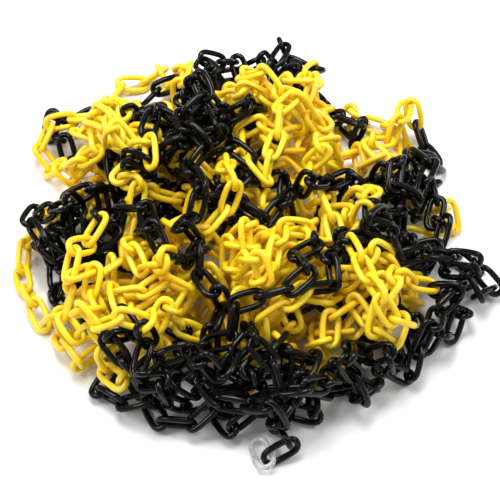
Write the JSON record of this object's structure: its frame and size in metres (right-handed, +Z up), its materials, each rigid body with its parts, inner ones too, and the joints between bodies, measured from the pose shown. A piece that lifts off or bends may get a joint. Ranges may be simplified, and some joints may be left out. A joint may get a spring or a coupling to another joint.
{
  "type": "plastic barrier chain",
  "caption": "Loose heap of plastic barrier chain in alternating yellow and black runs, with a split joining link on its free end.",
  "frame": {"origin": "on the floor under the middle of the heap", "axes": "+Z up, the free end lies at the front, towards -Y"},
  "size_m": [0.4892, 0.5449, 0.1358],
  "materials": {
    "yellow_plastic": "smooth moulded, satin gloss",
    "black_plastic": "smooth moulded, high gloss",
    "clear_plastic": "milky, see-through, smooth moulded"
  },
  "bodies": {
    "heap": {"black_run_01": "black_plastic", "black_run_03": "black_plastic", "black_run_05": "black_plastic", "black_run_07": "black_plastic", "black_run_09": "black_plastic", "black_run_11": "black_plastic", "black_run_13": "black_plastic", "black_run_15": "black_plastic", "black_run_17": "black_plastic", "black_run_19": "black_plastic", "black_run_21": "black_plastic", "black_run_23": "black_plastic", "black_run_25": "black_plastic", "black_run_27": "black_plastic", "black_run_29": "black_plastic", "black_run_31": "black_plastic", "black_run_33": "black_plastic", "black_run_35": "black_plastic", "yellow_run_02": "yellow_plastic", "yellow_run_04": "yellow_plastic", "yellow_run_06": "yellow_plastic", "yellow_run_08": "yellow_plastic", "yellow_run_10": "yellow_plastic", "yellow_run_12": "yellow_plastic", "yellow_run_14": "yellow_plastic", "yellow_run_16": "yellow_plastic", "yellow_run_18": "yellow_plastic", "yellow_run_20": "yellow_plastic", "yellow_run_22": "yellow_plastic", "yellow_run_24": "yellow_plastic", "yellow_run_26": "yellow_plastic", "yellow_run_28": "yellow_plastic", "yellow_run_30": "yellow_plastic", "yellow_run_32": "yellow_plastic", "yellow_run_34": "yellow_plastic", "yellow_run_36": "yellow_plastic"},
    "tail_link_3": {"tail_link_3": "black_plastic"},
    "tail_link_2": {"tail_link_2": "black_plastic"},
    "end_link": {"end_link": "black_plastic"},
    "joining_link": {"joining_link": "clear_plastic"}
  },
  "joints": [
    {"name": "tail_3_swing", "type": "hinge", "parent": "heap", "child": "tail_link_3", "pos_m": [0.03104, -0.21164, 0.00725], "axis": [0, 0, 1], "range_deg": [-9, 6]},
    {"name": "tail_2_swing", "type": "hinge", "parent": "tail_link_3", "child": "tail_link_2", "pos_m": [0.01757, -0.22842, 0.00919], "axis": [0, 0, 1], "range_deg": [-10, 6]},
    {"name": "end_swing", "type": "hinge", "parent": "tail_link_2", "child": "end_link", "pos_m": [0.0272, -0.25106, 0.02261], "axis": [0, 0, 1], "range_deg": [-7, 28]},
    {"name": "joining_swing", "type": "hinge", "parent": "end_link", "child": "joining_link", "pos_m": [0.01402, -0.26136, 0.00623], "axis": [0, 0, 1], "range_deg": [-10, 15]}
  ]
}
